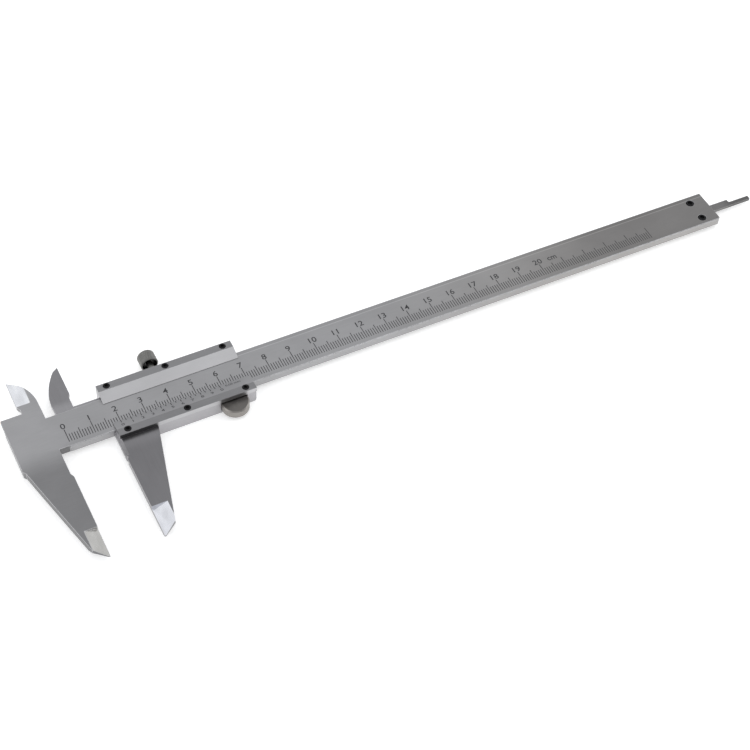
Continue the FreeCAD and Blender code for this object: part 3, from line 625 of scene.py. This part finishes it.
def vernier_place():
    """The plate's sloping face, with its origin at the upper left corner and Y up the slope."""
    top = Vector((plate_low.x, plate_high.y, plate_low.z + BEVEL_LIP * MM))
    foot = Vector((plate_low.x, plate_high.y - BEVEL_DROP * MM, plate_high.z))
    up = (top - foot).normalized()
    right = Vector((1, 0, 0))
    place = Matrix((right, up, right.cross(up))).transposed().to_4x4()
    place.translation = top
    return place


def make_vernier_scale(material):
    """The vernier's lines, its numbers and its reading, on the plate's sloping face."""
    place = vernier_place()
    half = LINE_WIDE / 2
    lines = bmesh.new()
    numbers = bmesh.new()
    for part in range(VERNIER_PARTS + 1):
        along = VERNIER_ZERO + VERNIER_SPAN * part / VERNIER_PARTS
        add_slab(lines, place, along - half, -VERNIER_LINES[part % 2], along + half, -VERNIER_GAP)
        if part % 2 == 0:
            add_letters(numbers, place, str(part // 2 % 10), along, *VERNIER_NUMBERS)
    add_letters(numbers, place, "0.05 mm", VERNIER_ZERO + VERNIER_SPAN + READING_RIGHT, *READING)
    piece_from(lines, "vernier_graduations", "slide_group", material)
    piece_from(numbers, "vernier_numbers", "slide_group", material)


# ---------------------------------------------------------------- turned pieces

def make_lock_knob(material):
    """Knurled knob with a recessed underside and its stem, in place of the plain CAD screw."""
    low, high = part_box("lock_screw")
    centre = (low + high) / 2
    to_place = Matrix.Translation((centre.x, low.y, 0.0)) @ Matrix.Rotation(-math.pi / 2, 4, "X")
    top = (high.y - low.y) / MM
    foot = top - KNOB_HIGH
    floor = foot + RECESS_DEEP
    band_low, band_high = foot + BAND_ABOVE_FOOT, top - BAND_BELOW_TOP

    def knurl(radius, height, angle):
        """Grooves that cross in two spirals and fade out at the ends of the knurled band."""
        if radius < KNOB_RADIUS - ON_RIM or not band_low < height < band_high:
            return 0.0
        lean = 2 * math.pi * height / KNOB_KNURL_PITCH
        left = abs(math.sin((KNOB_TEETH * angle + lean) / 2))
        right = abs(math.sin((KNOB_TEETH * angle - lean) / 2))
        fade = min(1.0, (height - band_low) / BAND_FADE, (band_high - height) / BAND_FADE)
        return KNOB_KNURL_DEEP * fade * (1 - min(left, right) ** 0.8)

    profile = [(0, 0), (STEM_RADIUS - STEM_POINT, 0), (STEM_RADIUS, STEM_POINT),
               (STEM_RADIUS, floor), (RECESS_RADIUS, floor), (RECESS_RADIUS, foot + LIP),
               (RECESS_RADIUS + LIP, foot), (KNOB_RADIUS - KNOB_CHAMFER, foot),
               (KNOB_RADIUS, foot + KNOB_CHAMFER), (KNOB_RADIUS, band_low - ON_RIM)]
    rows = 40
    profile += [(KNOB_RADIUS, band_low + (band_high - band_low) * row / rows)
                for row in range(rows + 1)]
    profile += [(KNOB_RADIUS - KNOB_DOME + KNOB_DOME * math.cos(math.radians(turn)),
                 top - KNOB_DOME + KNOB_DOME * math.sin(math.radians(turn)))
                for turn in range(0, 91, 10)]
    profile += [(KNOB_RADIUS * 0.55, top), (0, top)]
    bm = bmesh.new()
    turned_mesh(bm, profile, 360, to_place, knurl)
    piece = piece_from(bm, "lock_knob", "lock_group", material, 35)
    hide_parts("lock_screw")


def make_thumb_wheel(material):
    """Disc with a finely knurled rim, bevelled edges and a shallow dished front."""
    low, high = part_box("thumb_wheel")
    centre = (low + high) / 2
    to_place = Matrix.Translation((centre.x, centre.y, low.z))
    radius = (high.x - low.x) / 2 / MM
    thick = (high.z - low.z) / MM
    face = radius - WHEEL_BEVEL

    def knurl(reach, height, angle):
        """Straight teeth round the rim."""
        if reach < radius - ON_RIM:
            return 0.0
        return WHEEL_KNURL_DEEP * (1 - abs(math.sin(WHEEL_TEETH / 2 * angle)))

    profile = [(0, BORE_DEEP), (BORE_RADIUS, BORE_DEEP), (BORE_RADIUS, 0.0), (face, 0.0)]
    rows = 6
    profile += [(radius, WHEEL_BEVEL + (thick - 2 * WHEEL_BEVEL) * row / rows)
                for row in range(rows + 1)]
    profile += [(face, thick), (face - 0.12, thick - 0.04), (1.0, thick - DISH_DEEP),
                (0, thick - DISH_DEEP)]
    bm = bmesh.new()
    turned_mesh(bm, profile, 540, to_place, knurl)
    piece = piece_from(bm, "thumb_wheel_knurled", "wheel_group", material, 25)
    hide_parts("thumb_wheel")


# ---------------------------------------------------------------- studio

def make_floor():
    """A pale floor that gives off a little light, so that it comes out white."""
    shader = Shader("pale_floor", metallic=0.0)
    grain = shader.noise((30, 30, 30), 3.0, 0.5)
    colour = shader.grey(rgb(0.90, 0.90, 0.895), shader.ramp(grain, 0.2, 0.8, 0.99, 1.0))
    shader.surface.inputs["Emission Color"].default_value = rgb(1.0, 1.0, 1.0)
    shader.surface.inputs["Emission Strength"].default_value = FLOOR_GLOW
    material = shader.finish(colour, 0.9)
    bm = bmesh.new()
    bmesh.ops.create_grid(bm, x_segments=2, y_segments=2, size=FLOOR_HALF)
    mesh = bpy.data.meshes.new("floor")
    bm.to_mesh(mesh)
    bm.free()
    mesh.materials.append(material)
    floor = bpy.data.objects.new("floor", mesh)
    floor.location = (FLOOR_MIDDLE, 0.0, cad_low.z)
    bpy.context.scene.collection.objects.link(floor)


def make_light(name, towards, distance, size, power):
    """A square softbox in the given direction from the middle of the object."""
    middle = (cad_low + cad_high) / 2
    back = Vector(towards).normalized()
    lamp = bpy.data.lights.new(name, "AREA")
    lamp.shape = "SQUARE"
    lamp.size = size
    lamp.energy = power
    holder = bpy.data.objects.new(name, lamp)
    holder.location = middle + back * distance
    holder.rotation_euler = back.to_track_quat("Z", "Y").to_euler()
    bpy.context.scene.collection.objects.link(holder)


def make_world():
    """Pale surroundings, a little dimmer on the camera's side."""
    world = bpy.data.worlds.new("studio")
    world.use_nodes = True
    tree = world.node_tree
    background = tree.nodes["Background"]
    background.inputs["Color"].default_value = rgb(0.97, 0.98, 1.0)
    around = tree.nodes.new("ShaderNodeTexCoord")
    split = tree.nodes.new("ShaderNodeSeparateXYZ")
    tree.links.new(around.outputs["Generated"], split.inputs[0])
    fade = tree.nodes.new("ShaderNodeMapRange")
    fade.interpolation_type = "SMOOTHSTEP"
    for count, number in enumerate(SKY_FADE + SKY_STRENGTH, 1):
        fade.inputs[count].default_value = number
    tree.links.new(split.outputs[1], fade.inputs[0])
    tree.links.new(fade.outputs[0], background.inputs["Strength"])
    bpy.context.scene.world = world


def make_studio():
    make_floor()
    make_world()
    make_light("left_softbox", (-0.93, 0.10, 0.40), 1.4, 1.0, SIDE_WATTS)
    make_light("right_softbox", (0.93, -0.20, 0.40), 1.6, 1.0, SIDE_WATTS)
    make_light("top_softbox", (0.30, -0.02, 0.97), 1.5, 0.9, TOP_WATTS)
    bpy.context.scene.view_settings.view_transform = "Standard"


def make_camera():
    lens = bpy.data.cameras.new("camera")
    lens.sensor_width = SENSOR_WIDE
    lens.lens = FOCAL_LENGTH
    lens.shift_x, lens.shift_y = LENS_SHIFT
    lens.clip_start = 0.01
    lens.clip_end = 20.0
    camera = bpy.data.objects.new("camera", lens)
    back = Vector(CAMERA_BACK).normalized()
    up = back.cross(Vector(CAMERA_RIGHT)).normalized()
    turn = Matrix((up.cross(back), up, back)).transposed().to_4x4()
    camera.matrix_world = Matrix.Translation(CAMERA_PLACE) @ turn
    bpy.context.scene.collection.objects.link(camera)
    bpy.context.scene.camera = camera


def dress_nodes():
    """Every CAD node except the two that turned pieces replace."""
    edge = edge_steel()
    black = black_oxide()
    plate = plate_steel()
    rod = rod_steel()
    beam = beam_steel()
    slide = slide_steel()
    for node, finish, width in (("beam", beam, BODY_EDGE), ("end_stop_plate", beam, BODY_EDGE),
                                ("slide_body", slide, BODY_EDGE),
                                ("vernier_plate", plate, PLATE_EDGE),
                                ("top_cover_plate", plate, PLATE_EDGE),
                                ("depth_rod", rod, STRIP_EDGE)):
        dress(node, finish, edge, width)
    dress("gib_strip", brass(), brass(), STRIP_EDGE)
    for node in nodes:
        if "rivet" in node or node == "thumb_wheel_axle":
            dress(node, rod, edge, SMALL_EDGE)
        elif "_screw_" in node:
            dress(node, black, black, SMALL_EDGE)


make_camera()
dress_nodes()
fill = engraving_paint()
make_beam_scale(fill)
make_vernier_scale(fill)
lock_low, lock_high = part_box("lock_screw")
make_lock_knob(turned_steel("knob_nickel", rgb(0.214, 0.211, 0.202), "Y",
                            (lock_low + lock_high) / 2, dark_recess))
wheel_low, wheel_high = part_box("thumb_wheel")
make_thumb_wheel(turned_steel("wheel_turned_steel", rgb(0.305, 0.288, 0.270), "Z",
                              (wheel_low + wheel_high) / 2, dark_face))
make_studio()
